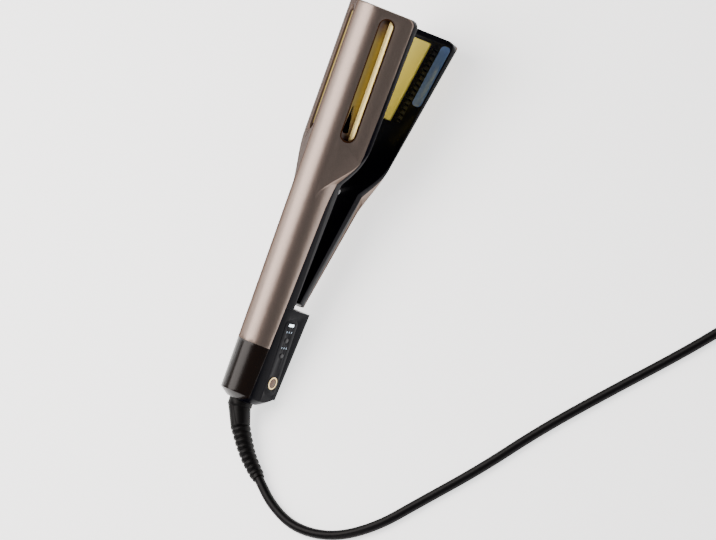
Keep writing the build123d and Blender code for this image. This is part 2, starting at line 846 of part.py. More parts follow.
# Pose at rest: the whole stands on its heel and toe, over the middle of its underside
stand = Location((0, 0, 0), (0, -tilt, 0))
drop = (stand * floor_plane.location).position.Z
placed = [
    piece.part.moved(stand if body == "main" else stand * opening)
    for body, piece in pieces.values() if body in ("main", "lower")
]
reach = Compound(children=placed).bounding_box()
shift = Location((-(reach.min.X + reach.max.X) / 2, 0, -drop))
stand = shift * stand
stand_lower = stand * opening
print("base origin", shift.position, "tilt", round(tilt, 3), "box", reach.size)
exit_frame = stand * Location((base_back - 0.3, 0, exit_z))
print("cord exit", exit_frame.position, "hinge", (stand * Location((pivot_x, 0, 0))).position)
placements = {"main": stand, "upper_plate": stand, "lower": stand_lower, "lower_plate": stand_lower}

exit_way = Vector(-cos(radians(tilt)), 0, -sin(radians(tilt)))
exit_point = exit_frame.position
lead_way = (Vector(*lead_route[1]) - Vector(*lead_route[0])).normalized()
cord_radius = cord_diameter / 2


def circle_on(path, share, radius):
    """Circle of a ribbed sleeve at a share of the way along its path."""
    with BuildSketch(Plane(origin=path @ share, x_dir=(0, 0, 1), z_dir=path % share)) as ring:
        Circle(radius)
    return ring.sketch


with BuildPart() as strain_relief:
    with BuildLine() as relief_line:
        Spline(exit_point, *relief_route, tangents=(exit_way, lead_way))
    relief_path = relief_line.wire()
    relief_length = relief_path.length
    wide, narrow = relief_wide / 2, relief_narrow / 2
    collar = relief_collar / relief_length
    rings = [(0.0, wide), (collar, wide), (collar + 0.01, wide - 0.6), (relief_plain, wide - 1.6)]
    pitch = (0.96 - relief_plain) / rib_count
    for rib in range(rib_count):
        start = relief_plain + rib * pitch
        size = wide - 1.6 + (narrow - wide + 1.6) * (rib + 1) / rib_count
        for step, low in ((0.25, 1), (0.4, 0), (0.85, 0), (0.99, 1)):
            rings.append((start + pitch * step, size - rib_depth * low))
    rings += [(1.0, narrow - rib_depth)]
    loft([circle_on(relief_path, share, radius) for share, radius in rings], ruled=True)
keep("strain_relief", "world", strain_relief)


def route_radii(route):
    """Largest bend that the two runs beside each corner of a route allow."""
    found = []
    for before, corner, after in zip(route, route[1:], route[2:]):
        arriving, leaving = Vector(*corner) - Vector(*before), Vector(*after) - Vector(*corner)
        turn = radians(arriving.get_angle(leaving))
        found.append(0.45 * min(arriving.length, leaving.length) / tan(turn / 2))
    return found


lead_radii = route_radii(lead_route)
with BuildPart() as cord_lead:
    with BuildLine() as lead_line:
        FilletPolyline(*lead_route, radius=lead_radii)
    with BuildSketch(Plane(origin=lead_route[0], z_dir=lead_way)):
        Circle(cord_radius)
    sweep(path=lead_line.wire())
keep("cord_lead", "world", cord_lead)

# The coil spirals in on the table, climbs during one full circle and spirals out again over itself
coil_start = Vector(*lead_route[-1])
coil_way = (coil_start - Vector(*lead_route[-2])).normalized()
coil_in = Vector(coil_way.Y, -coil_way.X, 0)
layer_rise = cord_diameter + coil_gap
half_turns = [coil_radius - coil_step * step for step in range(coil_arcs)]
climb_radius = coil_radius - coil_step * coil_arcs


def half_turn(start, radius, way):
    """Draw one half-turn of the coil and give its end."""
    end = start + coil_in * (2 * radius * way)
    ThreePointArc(start, start + (coil_in + coil_way) * (radius * way), end)
    return end


with BuildPart() as cord_coil:
    with BuildLine() as coil_line:
        spot = coil_start + coil_way * cord_diameter
        Line(coil_start, spot)
        way = 1
        for radius in half_turns:
            spot, way = half_turn(spot, radius, way), -way
        climb_points = []
        for angle in range(0, 361, 15):
            share = min(max((angle - climb_start) / climb_turn, 0), 1)
            turned = radians(angle)
            around = coil_in * (1 - cos(turned)) + coil_way * sin(turned)
            height = layer_rise * share**2 * (3 - 2 * share)
            climb_points.append(spot + around * (climb_radius * way) + Vector(0, 0, height))
        Spline(*climb_points)
        spot = climb_points[-1]
        for radius in reversed(half_turns):
            spot, way = half_turn(spot, radius, way), -way
        tail_end = spot + coil_way * tail_length
        Line(spot, tail_end)
    coil_path = coil_line.wire()
    with BuildSketch(Plane(origin=coil_start, z_dir=coil_way)):
        Circle(cord_radius)
    sweep(path=coil_path)

coil_middle = coil_start + coil_way * cord_diameter + coil_in * coil_radius
tie_inner = climb_radius - cord_radius - coil_gap
tie_outer = coil_radius + cord_radius + coil_gap
tie_height = cord_diameter + layer_rise - tie_thickness + coil_gap
tie_lift = tie_height / 2 + tie_thickness - coil_middle.Z
with BuildPart() as cable_tie:
    band = Plane(origin=coil_middle + coil_way * ((tie_inner + tie_outer) / 2), x_dir=coil_way, z_dir=coil_in)
    with BuildSketch(band):
        with Locations((0, tie_lift)):
            RectangleRounded(tie_outer - tie_inner + 2 * tie_thickness, tie_height + 2 * tie_thickness, 1.2)
            Rectangle(tie_outer - tie_inner, tie_height, mode=Mode.SUBTRACT)
    extrude(amount=tie_width / 2, both=True)
keep("cable_tie", "world", cable_tie)
with BuildPart() as tied_coil:
    add(cord_coil.part)
    add(cable_tie.part, mode=Mode.SUBTRACT)
keep("cord_coil", "world", tied_coil)

plug_frame = Plane(origin=tail_end + coil_way * plug_play, x_dir=(0, 0, 1), z_dir=coil_way)
plug_height = 2 * tail_end.Z
with BuildPart() as plug_body:
    with BuildSketch(plug_frame):
        Circle(cord_radius + 1.2)
    with BuildSketch(plug_frame.offset(plug_boot)):
        Circle(plug_height / 2 - 2.5)
    loft(ruled=True)
    with BuildSketch(plug_frame.offset(plug_boot)):
        RectangleRounded(plug_height, plug_width, 6)
    extrude(amount=plug_length - plug_boot)
    chamfer(plug_body.faces().sort_by(Axis((0, 0, 0), tuple(coil_way)))[-1].edges(), 1.0)
keep("plug_body", "world", plug_body)

with BuildPart() as plug_pins:
    with BuildSketch(plug_frame.offset(plug_length)):
        with GridLocations(0, pin_spacing, 1, 2):
            Rectangle(pin_width, pin_thickness)
    extrude(amount=pin_length)
    chamfer(plug_pins.faces().sort_by(Axis((0, 0, 0), tuple(coil_way)))[-2:].edges(), 0.5)
keep("plug_pins", "world", plug_pins)

print("lead radii", [round(radius) for radius in lead_radii])
for name, path, tube in (("lead", lead_line.wire(), cord_lead), ("coil", coil_path, cord_coil)):
    full = path.length * pi * cord_radius**2
    print(name, "length", round(path.length, 1), "volume", round(tube.part.volume), "of", round(full))
samples = [coil_path @ (step / 900) for step in range(901)]
apart = int(3 * cord_diameter / (coil_path.length / 900))
least = min(
    (samples[first] - samples[second]).length
    for first in range(0, 901, 2) for second in range(first + apart, 901)
)
print("coil gap to itself", round(least - cord_diameter, 2))

placements["world"] = Location()
for name, (body, piece) in pieces.items():
    made = piece.part.moved(placements.get(body, stand))
    made.label = name
    export_step(made, f"parts/{name}.step")
    box = made.bounding_box()
    print(name, body, round(made.volume, 1), made.is_valid, len(made.solids()), box.min, box.max)
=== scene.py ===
"""Hair straightener lying open on a table: finishes, soft edges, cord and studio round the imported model."""

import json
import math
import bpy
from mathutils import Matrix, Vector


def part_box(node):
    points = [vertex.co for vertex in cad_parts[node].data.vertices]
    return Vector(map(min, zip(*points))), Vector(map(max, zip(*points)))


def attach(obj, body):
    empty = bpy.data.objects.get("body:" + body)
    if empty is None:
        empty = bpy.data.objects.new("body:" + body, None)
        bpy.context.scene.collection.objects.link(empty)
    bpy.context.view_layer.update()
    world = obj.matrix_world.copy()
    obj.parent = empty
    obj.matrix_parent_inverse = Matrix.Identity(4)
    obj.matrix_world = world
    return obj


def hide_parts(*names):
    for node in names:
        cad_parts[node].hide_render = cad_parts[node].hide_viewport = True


bl_info = {
    "name": "Hair Straightener",
    "version": (1, 0, 0),
    "blender": (4, 5, 0),
    "location": "View3D > Sidebar > Straightener",
    "description": "Dresses a packed hair straightener with its finishes, cord and studio",
    "category": "Object",
}

import bpy
from mathutils import Matrix, Vector

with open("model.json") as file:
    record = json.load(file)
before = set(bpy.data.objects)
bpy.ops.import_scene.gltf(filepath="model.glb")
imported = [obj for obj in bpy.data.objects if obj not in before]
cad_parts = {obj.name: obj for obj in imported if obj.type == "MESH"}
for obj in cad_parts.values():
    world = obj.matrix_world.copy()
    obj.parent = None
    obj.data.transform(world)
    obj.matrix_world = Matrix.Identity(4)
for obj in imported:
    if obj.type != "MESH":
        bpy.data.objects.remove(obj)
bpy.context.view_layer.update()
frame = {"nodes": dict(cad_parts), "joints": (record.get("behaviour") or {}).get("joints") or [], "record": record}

MM = 0.001
BODY_OF = {
    node: body
    for body, nodes in frame["record"]["behaviour"]["bodies"].items()
    for node in nodes
}
SLOT_OF = {row["node"]: row["material_slot"] for row in frame["record"]["subparts"]}
JOINTS = {joint["name"]: joint for joint in frame["joints"]}

# Route of the cord from its exit to the coil, in metres, and the coil's own sizes
CORD_EXIT = (-0.141863, 0.0, 0.014585)
CORD_ROUTE = (
    (-0.1598, -0.0085, 0.0109), (-0.1756, -0.0235, 0.0076), (-0.1857, -0.0374, 0.0054),
    (-0.1992, -0.0572, 0.0038), (-0.2070, -0.0833, 0.0034), (-0.2016, -0.1152, 0.0034),
    (-0.1823, -0.1429, 0.0034), (-0.1567, -0.1638, 0.0034), (-0.1177, -0.1966, 0.0034),
    (-0.0788, -0.2240, 0.0034), (-0.0368, -0.2590, 0.0034), (0.0112, -0.3011, 0.0034),
    (0.0464, -0.3280, 0.0034), (0.0768, -0.3565, 0.0034),
)
COIL_ARCS = 5
POINTS_PER_TURN = 24
# Where on the innermost turn the cord starts to climb to the second layer, and for how long, in degrees
CLIMB_START = 110.0
CLIMB_TURN = 180.0

# How far the side panels shift towards the control side, and stand proud of the casing. The shift is a
# known fault: both panels were meant to widen inwards, to the comb
# The widening to the comb was meant as painted reflection: slate carried over black casing that only reflects the
# studio
PANEL_SHIFT = 0.85 * MM
PANEL_PROUD = 0.05 * MM

# The camera's own axes at the photograph's angle, and what its frame centres on
CAMERA_RIGHT = (0.46100, -0.75085, -0.47297)
CAMERA_UP = (0.87982, 0.31722, 0.35397)
VIEW_CENTRE = (-0.02682, -0.03711, 0.01530)
VIEW_WIDTH = 0.4933
CAMERA_DISTANCE = 6.0
SENSOR_WIDTH = 36.0

# Floor's side, how far it lies under the straightener, its glow, and the strength of the world's light
FLOOR_SIDE = 6.0
FLOOR_DROP = 0.3 * MM
FLOOR_GLOW = 1.5
WORLD_STRENGTH = 0.35
# Softboxes: name, place, point that it faces, width, height, power in watts and tint
SOFTBOXES = (
    ("key_softbox", (-0.20, 0.45, 1.00), (-0.02, 0.0, 0.03), 0.80, 1.10, 24.0, "#fff8f4"),
    ("rim_softbox", (-0.10, 1.10, 0.42), (0.0, 0.0, 0.03), 0.45, 0.70, 3.6, "#ffffff"),
    ("end_softbox", (-1.20, -0.10, 0.60), (-0.1, 0.0, 0.03), 0.40, 0.60, 3.0, "#ffffff"),
)

# Merging of a node's loose triangles, and angles in degrees: of faces taken as flat and as smooth
MERGE_DISTANCE = 0.002 * MM
FLAT_ANGLE = 0.3
SMOOTH_ANGLE = 32.0
COMB_ANGLE = 40.0
RELIEF_ANGLE = 50.0
# Least cosine between a face's normal and a direction at which the face counts as facing that way
PARTING_FACING = 0.8
# The three vent facings choose which liner faces take painted light and which take painted shade
VENT_END_FACING = 0.4
VENT_RIM_FACING = 0.96
VENT_WALL_FACING = 0.1


def linear(code):
    """Turn an sRGB hex colour into linear red, green and blue."""
    shares = [int(code[place:place + 2], 16) / 255 for place in (1, 3, 5)]
    return tuple(
        share / 12.92 if share <= 0.04045 else ((share + 0.055) / 1.055) ** 2.4 for share in shares
    )


class StraightenerSizes(bpy.types.PropertyGroup):
    """Sizes that a user would change, in metres."""

    shell_edge: bpy.props.FloatProperty(
        name="Shell edge", description="Rounding of the shells' edges", default=0.5 * MM, unit="LENGTH"
    )
    small_edge: bpy.props.FloatProperty(
        name="Small edge", description="Rounding of the small parts' edges", default=0.18 * MM, unit="LENGTH"
    )
    cord_diameter: bpy.props.FloatProperty(
        name="Cord diameter", description="Outer diameter of the cord", default=6.8 * MM, unit="LENGTH"
    )
    coil_radius: bpy.props.FloatProperty(
        name="Coil radius", description="Radius of the coil's outer half-turn", default=46.8 * MM,
        unit="LENGTH",
    )
    coil_step: bpy.props.FloatProperty(
        name="Coil step", description="How much each half-turn is smaller", default=3.65 * MM, unit="LENGTH"
    )
    layer_rise: bpy.props.FloatProperty(
        name="Layer rise", description="Height of one layer of the coil", default=7.25 * MM, unit="LENGTH"
    )
    tail_length: bpy.props.FloatProperty(
        name="Tail length", description="Straight cord between coil and plug", default=26.0 * MM,
        unit="LENGTH",
    )


class StraightenerColours(bpy.types.PropertyGroup):
    """Main colours of the straightener."""

    shell: bpy.props.FloatVectorProperty(
        name="Shell", description="Champagne lacquer of the shells", subtype="COLOR",
        default=linear("#7f7169"),
    )
    casing: bpy.props.FloatVectorProperty(
        name="Casing", description="Black of the inner casings", subtype="COLOR", default=linear("#030308")
    )
    gold: bpy.props.FloatVectorProperty(
        name="Gold", description="Gilded vents", subtype="COLOR", default=linear("#ffe99a")
    )
    plate: bpy.props.FloatVectorProperty(
        name="Plate", description="Coated heated plates", subtype="COLOR", default=linear("#ffec70")
    )
    panel: bpy.props.FloatVectorProperty(
        name="Panel", description="Slate panels beside the combs", subtype="COLOR", default=linear("#4c6696")
    )
    cord: bpy.props.FloatVectorProperty(
        name="Cord", description="Cord and strain relief", subtype="COLOR", default=linear("#030203")
    )


def sizes():
    """Give the sizes that the scene holds."""
    return bpy.context.scene.straightener_sizes


def colours():
    """Give the colours that the scene holds."""
    return bpy.context.scene.straightener_colours


def add_node(material, kind, settings=None, **inputs):
    """Add a shader node, set its properties, and set or link its inputs."""
    node = material.node_tree.nodes.new(kind)
    for name, value in (settings or {}).items():
        setattr(node, name, value)
    for name, value in inputs.items():
        socket = node.inputs[int(name[1:])] if name[0] == "i" and name[1:].isdigit() else node.inputs[
            name.replace("_", " ")
        ]
        if isinstance(value, bpy.types.NodeSocket):
            material.node_tree.links.new(value, socket)
        elif socket.type == "RGBA":
            socket.default_value = (*value[:3], 1.0)
        else:
            socket.default_value = value
    return node


def new_material(name):
    """Make an empty node material and give it with its surface shader and object coordinates."""
    material = bpy.data.materials.new(name)
    material.use_nodes = True
    material.node_tree.nodes.clear()
    shader = add_node(material, "ShaderNodeBsdfPrincipled")
    output = add_node(material, "ShaderNodeOutputMaterial")
    material.node_tree.links.new(shader.outputs["BSDF"], output.inputs["Surface"])
    place = add_node(material, "ShaderNodeTexCoord").outputs["Object"]
    return material, shader, place


def set_shader(shader, **values):
    """Set constants on the surface shader's own sockets."""
    for name, value in values.items():
        socket = shader.inputs[name.replace("_", " ")]
        socket.default_value = (*value[:3], 1.0) if socket.type == "RGBA" else value


def grain(material, shader, place, size, depth, colour, other, stretch=(1, 1, 1)):
    """Give a finish its grain: a bump of that size and depth, and a blend of two colours."""
    mapped = add_node(material, "ShaderNodeMapping", Vector=place, Scale=stretch).outputs["Vector"]
    noise = add_node(material, "ShaderNodeTexNoise", Vector=mapped, Scale=1 / size, Detail=3.0)
    bump = add_node(material, "ShaderNodeBump", Height=noise.outputs["Fac"], Distance=depth, Strength=1.0)
    material.node_tree.links.new(bump.outputs["Normal"], shader.inputs["Normal"])
    mix = add_node(
        material, "ShaderNodeMix", {"data_type": "RGBA"}, Factor=noise.outputs["Fac"], i6=colour, i7=other
    )
    material.node_tree.links.new(mix.outputs[2], shader.inputs["Base Color"])


def shade(colour, share):
    """Give a colour made lighter or darker by a share."""
    return tuple(min(part * share, 1.0) for part in colour[:3])


def champagne_lacquer():
    """ABS with a metallic lacquer: fine aluminium flakes under a satin clear coat give a soft broad sheen."""
    material, shader, place = new_material("champagne_metallic_lacquer")
    set_shader(
        shader, Metallic=1.0, Roughness=0.36, Specular_Tint=linear("#5c5450"), Coat_Weight=0.1,
        Coat_Roughness=0.25,
    )
    flakes = add_node(material, "ShaderNodeTexVoronoi", Vector=place, Scale=1 / (0.45 * MM))
    mix = add_node(
        material, "ShaderNodeMix", {"data_type": "RGBA"}, Factor=flakes.outputs["Color"],
        i6=shade(colours().shell, 0.93), i7=shade(colours().shell, 1.07),
    )
    material.node_tree.links.new(mix.outputs[2], shader.inputs["Base Color"])
    bump = add_node(
        material, "ShaderNodeBump", Height=flakes.outputs["Distance"], Distance=0.006 * MM, Strength=0.5
    )
    material.node_tree.links.new(bump.outputs["Normal"], shader.inputs["Normal"])
    return material


def painted_rim_sheen():
    """Painted sheen on the shell's edge towards the other arm: a fine warm copper line that stands in for the
    light caught by the rounded edge.
    """
    material, shader, place = new_material("painted_warm_sheen_on_the_lacquer_edge")
    set_shader(shader, Metallic=0.85, Roughness=0.3)
    grain(material, shader, place, 0.4 * MM, 0.004 * MM, linear("#7a5a40"), linear("#8f6c4c"))
    return material


def black_casing():
    """Injection-moulded PC/ABS, semi-gloss, with a navy cast and a faint flow texture."""
    material, shader, place = new_material("black_moulded_abs")
    set_shader(shader, Roughness=0.3, Specular_IOR_Level=0.06)
    grain(
        material, shader, place, 1.2 * MM, 0.004 * MM, colours().casing, shade(colours().casing, 1.5)
    )
    return material


def polished_cap():
    """Brown-black ABS from a polished mould: nearly a mirror, so it shows soft highlights as stripes."""
    material, shader, place = new_material("polished_brown_black_abs")
    set_shader(shader, Roughness=0.2, Specular_IOR_Level=0.2)
    grain(material, shader, place, 3.0 * MM, 0.004 * MM, linear("#090301"), linear("#100602"))
    return material


def gilded(name, metallic, stops):
    """Vacuum-metallised plastic with a gold lacquer, with painted shade that darkens it towards the rounded ends
    of the trough.
    """
    material, shader, place = new_material(name)
    set_shader(shader, Metallic=metallic, Roughness=0.34)
    low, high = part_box("upper_vent_liners")
    ridge = Vector(JOINTS["cord_swivel"]["axis"])
    along = add_node(material, "ShaderNodeVectorMath", {"operation": "DOT_PRODUCT"}, i0=place, i1=ridge)
    share = add_node(
        material, "ShaderNodeMapRange", Value=along.outputs["Value"], From_Min=low.dot(ridge),
        From_Max=high.dot(ridge),
    )
    ramp = add_node(material, "ShaderNodeValToRGB", Fac=share.outputs["Result"])
    while len(ramp.color_ramp.elements) < len(stops):
        ramp.color_ramp.elements.new(0.5)
    for element, (spot, colour) in zip(ramp.color_ramp.elements, stops):
        element.position = spot
        element.color = (*colour, 1.0)
    material.node_tree.links.new(ramp.outputs["Color"], shader.inputs["Base Color"])
    noise = add_node(material, "ShaderNodeTexNoise", Vector=place, Scale=1 / (2.5 * MM), Detail=2.0)
    bump = add_node(material, "ShaderNodeBump", Height=noise.outputs["Fac"], Distance=0.01 * MM, Strength=0.4)
    material.node_tree.links.new(bump.outputs["Normal"], shader.inputs["Normal"])
    return material


def coated_plate():
    """Aluminium with a gold-toned ceramic coat, ground and polished along its length."""
    material, shader, place = new_material("ceramic_coated_plate")
    set_shader(shader, Metallic=0.05, Roughness=0.32)
    grain(
        material, shader, place, 0.5 * MM, 0.003 * MM, shade(colours().plate, 0.94), colours().plate,
        stretch=(0.03, 1, 1),
    )
    return material


def slate_panel():
    """Moulded acrylic inlay, slate blue: a satin face that blurs the gold beside it to a soft sheen."""
    material, shader, place = new_material("slate_blue_acrylic")
    set_shader(shader, Roughness=0.3, IOR=1.49, Coat_Weight=0.3, Coat_Roughness=0.16)
    grain(material, shader, place, 6.0 * MM, 0.003 * MM, colours().panel, shade(colours().panel, 1.15))
    return material


def plain(name, code, roughness, size, depth, metallic=0.0, spread=1.25, gloss=0.5):
    """A finish of one tone with its own grain."""
    material, shader, place = new_material(name)
    set_shader(shader, Metallic=metallic, Roughness=roughness, Specular_IOR_Level=gloss)
    tone = linear(code)
    grain(material, shader, place, size, depth, tone, shade(tone, spread))
    return material


def lit_lens(name, code, strength):
    """Frosted polycarbonate light guide with the lamp on behind it."""
    material, shader, place = new_material(name)
    set_shader(
        shader, Roughness=0.35, IOR=1.58, Emission_Color=linear(code), Emission_Strength=strength
    )
    grain(material, shader, place, 0.6 * MM, 0.003 * MM, linear(code), shade(linear(code), 0.8))
    return material


def cord_sheath():
    """Flexible PVC sheath, extruded: dark, satin, with the faint lay of the cores showing as long swells."""
    material, shader, place = new_material("extruded_pvc_sheath")
    set_shader(shader, Roughness=0.42, Specular_IOR_Level=0.1)
    grain(material, shader, place, 2.0 * MM, 0.02 * MM, colours().cord, shade(colours().cord, 1.6))
    return material


MAKERS = {
    "champagne": champagne_lacquer,
    # Painted sheen: a warm copper line on the shells' edges towards the other arm
    "painted_edge_sheen": painted_rim_sheen,
    "casing": black_casing,
    "cap": polished_cap,
    "plate": coated_plate,
    "panel": slate_panel,
    "sheath": cord_sheath,
    # Facet that faces the light, a lit copy of the gilding: pale gold as painted light, with painted shade
    # darkening it at one end
    "gold_painted_lit_facet": lambda: gilded(
        "gilded_facet_painted_lit_with_shaded_end", 0.6,
        ((0.0, linear("#3a1c0c")), (0.14, colours().gold[:]), (1.0, colours().gold[:])),
    ),
    # Wall of the trough in its own shadow, a shaded copy of the gilding: olive gold as painted shade, turning
    # brown at both ends with more painted shade
    "gold_painted_shaded_wall": lambda: gilded(
        "gilded_wall_painted_in_shade", 0.35,
        (
            (0.0, linear("#1c0a04")), (0.14, linear("#34180a")), (0.32, linear("#6b5a06")),
            (0.78, linear("#6b5a06")), (0.9, linear("#34180a")), (1.0, linear("#1c0a04")),
        ),
    ),
    # Painted shade: dark brown gold on the trough's ends, and on the liner's rim, which is painted dark so that it
    # does not show
    "gold_painted_shaded_end": lambda: plain("gold_painted_shade_of_the_vent_end", "#4a2a12", 0.3, 1.0 * MM, 0.004 * MM, 0.8),
    # Rose-gold plated ring, turned: bright and warm
    "bezel": lambda: plain("rose_gold_plated_ring", "#d9bf8c", 0.2, 0.5 * MM, 0.003 * MM, 1.0),
    # Lacquered push button, warm brown
    "button": lambda: plain("brown_lacquered_button", "#4b3222", 0.22, 0.8 * MM, 0.004 * MM, 0.3),
    # Small keys, moulded in the black of the fascia but less polished
    "key": lambda: plain("satin_black_key", "#0e0e12", 0.34, 0.5 * MM, 0.006 * MM, gloss=0.3),
    # Comb of glass-filled polyamide: satin black
    "comb": lambda: plain("satin_black_polyamide", "#050508", 0.3, 0.6 * MM, 0.005 * MM, gloss=0.3),
    # Soft moulded rubber of the strain relief and the plug
    "rubber": lambda: plain("moulded_black_rubber", "#040303", 0.45, 0.7 * MM, 0.01 * MM, gloss=0.12),
    # Hook-and-loop strap: a dull fibrous black
    "strap": lambda: plain("black_hook_and_loop_strap", "#101012", 0.85, 0.5 * MM, 0.06 * MM),
    # Spring steel and zinc-plated screws: bright grey with drawing marks
    "steel": lambda: plain("drawn_bright_steel", "#a9abad", 0.28, 0.4 * MM, 0.003 * MM, 1.0),
    # Stamped brass of pins, rings and brushes
    "brass": lambda: plain("stamped_brass", "#c9a75c", 0.26, 0.5 * MM, 0.003 * MM, 1.0),
    # Acetal of bushes and bearing: smooth and waxy
    "acetal": lambda: plain("dark_acetal", "#202022", 0.38, 1.0 * MM, 0.003 * MM),
    # Alumina heater: chalky off-white
    "alumina": lambda: plain("fired_alumina", "#d8d3c8", 0.7, 0.3 * MM, 0.01 * MM, spread=0.92),
    # Silicone pads: brick red, dull
    "silicone": lambda: plain("red_silicone", "#8e2f22", 0.6, 0.6 * MM, 0.008 * MM),
    # Glass-filled resin of the plate carriers
    "resin": lambda: plain("heat_resistant_resin", "#232323", 0.5, 0.5 * MM, 0.01 * MM),
    # Woven glass sleeve over the wires
    "sleeve": lambda: plain("glass_fibre_sleeve", "#c9c7bd", 0.8, 0.4 * MM, 0.05 * MM, spread=0.85),
    # Circuit board with its green solder resist
    "laminate": lambda: plain("green_solder_resist", "#1c5a36", 0.3, 1.5 * MM, 0.006 * MM),
    "light": lambda: lit_lens("lit_status_lens", "#e8f6ff", 3.0),
    "lamp": lambda: lit_lens("dim_indicator_lens", "#9fb4c8", 0.5),
}
MADE = {}

FINISH_OF_SLOT = {
    "champagne_lacquer": "champagne", "black_casing": "casing", "gloss_black": "cap", "rose_gold": "bezel",
    "lit_lens": "lamp", "button_black": "key", "board": "laminate", "switch_plastic": "resin",
    "steel": "steel",
    "acetal": "acetal", "gilded_liner": "gold_painted_lit_facet", "gold_plate": "plate", "heater_ceramic": "alumina",
    "silicone": "silicone", "heat_resin": "resin", "loom_sleeve": "sleeve", "brass_contact": "brass",
    "comb_black": "comb", "slate_panel": "panel", "relief_rubber": "rubber", "cord_sheath": "sheath",
    "tie_rubber": "strap", "plug_black": "rubber",
}
FINISH_OF_NODE = {"status_light": "light", "power_button": "button", "control_fascia": "casing"}


def finish(name):
    """Give a finish by its name, made once."""
    if name not in MADE:
        MADE[name] = MAKERS[name]()
    return MADE[name]


def finish_of(node):
    """Give the finish of a node, by its own name or else by its slot."""
    return finish(FINISH_OF_NODE.get(node) or FINISH_OF_SLOT[SLOT_OF[node]])


def dress(piece, *materials):
    """Put materials on a piece in place of what it has."""
    piece.data.materials.clear()
    for material in materials:
        piece.data.materials.append(material)


def only(piece):
    """Select one piece and nothing else."""
    bpy.ops.object.select_all(action="DESELECT")
    piece.hide_set(False)
    piece.select_set(True)
    bpy.context.view_layer.objects.active = piece


def apply_modifiers(piece):
    """Apply all modifiers of a piece."""
    only(piece)
    for modifier in list(piece.modifiers):
        bpy.ops.object.modifier_apply(modifier=modifier.name)


def skin(node, edge, angle=SMOOTH_ANGLE):
    """Copy a node, merge it, round its edges and let the copy stand for it."""
    source = frame["nodes"][node]
    piece = bpy.data.objects.new(node + "_skin", source.data.copy())
    bpy.context.scene.collection.objects.link(piece)
    only(piece)
    bpy.ops.object.mode_set(mode="EDIT")
    bpy.ops.mesh.select_all(action="SELECT")
    bpy.ops.mesh.remove_doubles(threshold=MERGE_DISTANCE)
    bpy.ops.mesh.dissolve_limited(angle_limit=math.radians(FLAT_ANGLE))
    bpy.ops.object.mode_set(mode="OBJECT")
    if piece.data.has_custom_normals:
        bpy.ops.mesh.customdata_custom_splitnormals_clear()
    if edge:
        bevel = piece.modifiers.new("edge", "BEVEL")
        bevel.width = edge
        bevel.segments = 2
        bevel.limit_method = "ANGLE"
        bevel.angle_limit = math.radians(angle)
        bevel.use_clamp_overlap = True
        apply_modifiers(piece)
    bpy.ops.object.shade_smooth_by_angle(angle=math.radians(angle))
    dress(piece, finish_of(node))
    return stands_for(piece, node)


def facing(arm):
    """Give the direction in which an arm's plate faces the other arm."""
    axis = Vector(JOINTS[arm + "_plate_float"]["axis"])
    return axis * math.copysign(1, axis.z) * (-1 if arm == "upper" else 1)


def stands_for(piece, node):
    """Let a finished piece ride with a node's body and replace the node."""
    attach(piece, BODY_OF[node])
    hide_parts(node)
    return piece


class HS_OT_camera(bpy.types.Operator):
    """Place the camera at the photograph's angle"""

    bl_idname = "straightener.camera"
    bl_label = "Camera"

    def execute(self, context):
        right, up = Vector(CAMERA_RIGHT), Vector(CAMERA_UP)
        back = right.cross(up)
        data = bpy.data.cameras.new("camera")
        data.sensor_width = SENSOR_WIDTH
        data.lens = SENSOR_WIDTH * CAMERA_DISTANCE / VIEW_WIDTH
        data.clip_start, data.clip_end = 0.5, 20.0
        camera = bpy.data.objects.new("camera", data)
        context.scene.collection.objects.link(camera)
        turned = Matrix((right, up, back)).transposed().to_4x4()
        camera.matrix_world = Matrix.Translation(Vector(VIEW_CENTRE) + back * CAMERA_DISTANCE) @ turned
        context.scene.camera = camera
        return {"FINISHED"}


def half_turn(start, radius, way, along, inward):
    """Points of one half-turn of the coil, without its last, and where it ends."""
    step = 2 * math.pi / POINTS_PER_TURN
    swell = radius / math.cos(step / 2)
    centre = start + inward * (radius * way)
    points = []
    for count in range(POINTS_PER_TURN // 2):
        angle = (count + 0.5) * step
        points.append(centre + (inward * -math.cos(angle) + along * math.sin(angle)) * (swell * way))
    return points, start + inward * (2 * radius * way)


def coil_points(start, along):
    """Control points of the tied coil and its tail, from where the lead reaches it."""
    size = sizes()
    inward = Vector((along.y, -along.x, 0))
    radii = [size.coil_radius - size.coil_step * step for step in range(COIL_ARCS)]
    spot = start + along * size.cord_diameter
    points, way = [spot], 1
    for radius in radii:
        more, spot = half_turn(spot, radius, way, along, inward)
        points, way = points + more, -way
    climb = size.coil_radius - size.coil_step * COIL_ARCS
    step = 360 / POINTS_PER_TURN
    swell = climb / math.cos(math.radians(step / 2))
    for count in range(POINTS_PER_TURN):
        angle = (count + 0.5) * step
        share = min(max((angle - CLIMB_START) / CLIMB_TURN, 0), 1)
        turned = math.radians(angle)
        around = (inward * -math.cos(turned) + along * math.sin(turned)) * swell + inward * climb
        rise = Vector((0, 0, size.layer_rise * share**2 * (3 - 2 * share)))
        points.append(spot + around * way + rise)
    spot = spot + Vector((0, 0, size.layer_rise))
    for radius in reversed(radii):
        more, spot = half_turn(spot, radius, way, along, inward)
        points, way = points + more, -way
    return points + [spot, spot + along * size.tail_length]


